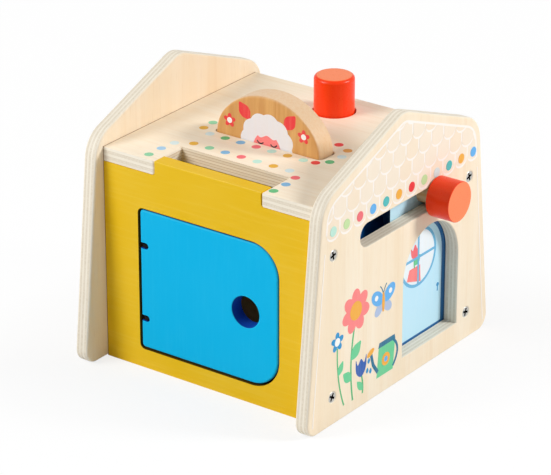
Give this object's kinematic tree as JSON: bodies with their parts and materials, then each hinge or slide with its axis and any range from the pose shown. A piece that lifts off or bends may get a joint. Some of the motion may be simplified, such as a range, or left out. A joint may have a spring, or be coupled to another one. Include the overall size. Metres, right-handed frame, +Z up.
{
  "type": "pop up toy house",
  "caption": "Wooden toy house with a figure that pops up when a peg is pressed, a hinged front door, a sliding side door and a posting slot.",
  "frame": {"origin": "centre of the underside of the base panel, on the surface the toy stands on", "axes": "+X to the right gable with the knob, +Y to the back, +Z up; the hinged door is in the front, at -Y"},
  "size_m": [0.189, 0.1904, 0.1724],
  "materials": {
    "birch_ply": "clear lacquered birch plywood",
    "yellow_paint": "satin yellow paint on wood",
    "blue_paint": "satin blue paint on wood",
    "pale_blue_paint": "satin pale blue paint on plywood",
    "deep_blue_paint": "satin deep blue paint on plywood",
    "orange_paint": "satin orange paint on wood",
    "beech": "clear lacquered beech",
    "pine": "planed softwood",
    "steel": "zinc plated steel"
  },
  "bodies": {
    "house": {"left_gable": "birch_ply", "right_gable": "birch_ply", "top_panel": "birch_ply", "back_panel": "birch_ply", "base_panel": "birch_ply", "front_panel": "yellow_paint", "hinge_eye_upper": "steel", "hinge_eye_lower": "steel", "door_stop": "pine", "figure_guide_left": "pine", "figure_guide_right": "pine", "lever_pivot_pin": "steel", "lever_hanger_left": "pine", "lever_hanger_right": "pine", "upper_rail": "pine", "lower_rail": "pine", "backdrop_board": "deep_blue_paint", "right_gable_screws": "steel", "left_gable_screws": "steel"},
    "front_door": {"front_door": "blue_paint", "door_hinge_pin": "steel"},
    "sliding_door": {"sliding_door": "pale_blue_paint", "knob_spindle": "beech", "slider_knob": "orange_paint", "knob_screw": "steel"},
    "push_peg": {"push_peg": "orange_paint", "peg_stop_dowel": "beech"},
    "lever": {"lever": "beech"},
    "popup_figure": {"popup_figure": "beech"}
  },
  "joints": [
    {"name": "door_swing", "type": "hinge", "parent": "house", "child": "front_door", "pos_m": [-0.0474, -0.0725, 0.0585], "axis": [0, 0, -1], "range_deg": [0, 100]},
    {"name": "side_door_slide", "type": "slide", "parent": "house", "child": "sliding_door", "axis": [0, -1, 0], "range_m": [0, 0.0656]},
    {"name": "peg_press", "type": "slide", "parent": "house", "child": "push_peg", "axis": [0, 0, -1], "range_m": [0, 0.02]},
    {"name": "lever_tilt", "type": "hinge", "parent": "house", "child": "lever", "pos_m": [0, 0.02105, 0.104], "axis": [-1, 0, 0], "range_deg": [0, 38.23]},
    {"name": "figure_rise", "type": "slide", "parent": "house", "child": "popup_figure", "axis": [0, 0, 1], "range_m": [0, 0.02]}
  ],
  "couplings": [
    {"joint": "lever_tilt", "follows": "peg_press", "rad_per_m": 33.348},
    {"joint": "figure_rise", "follows": "peg_press", "ratio": 1}
  ]
}
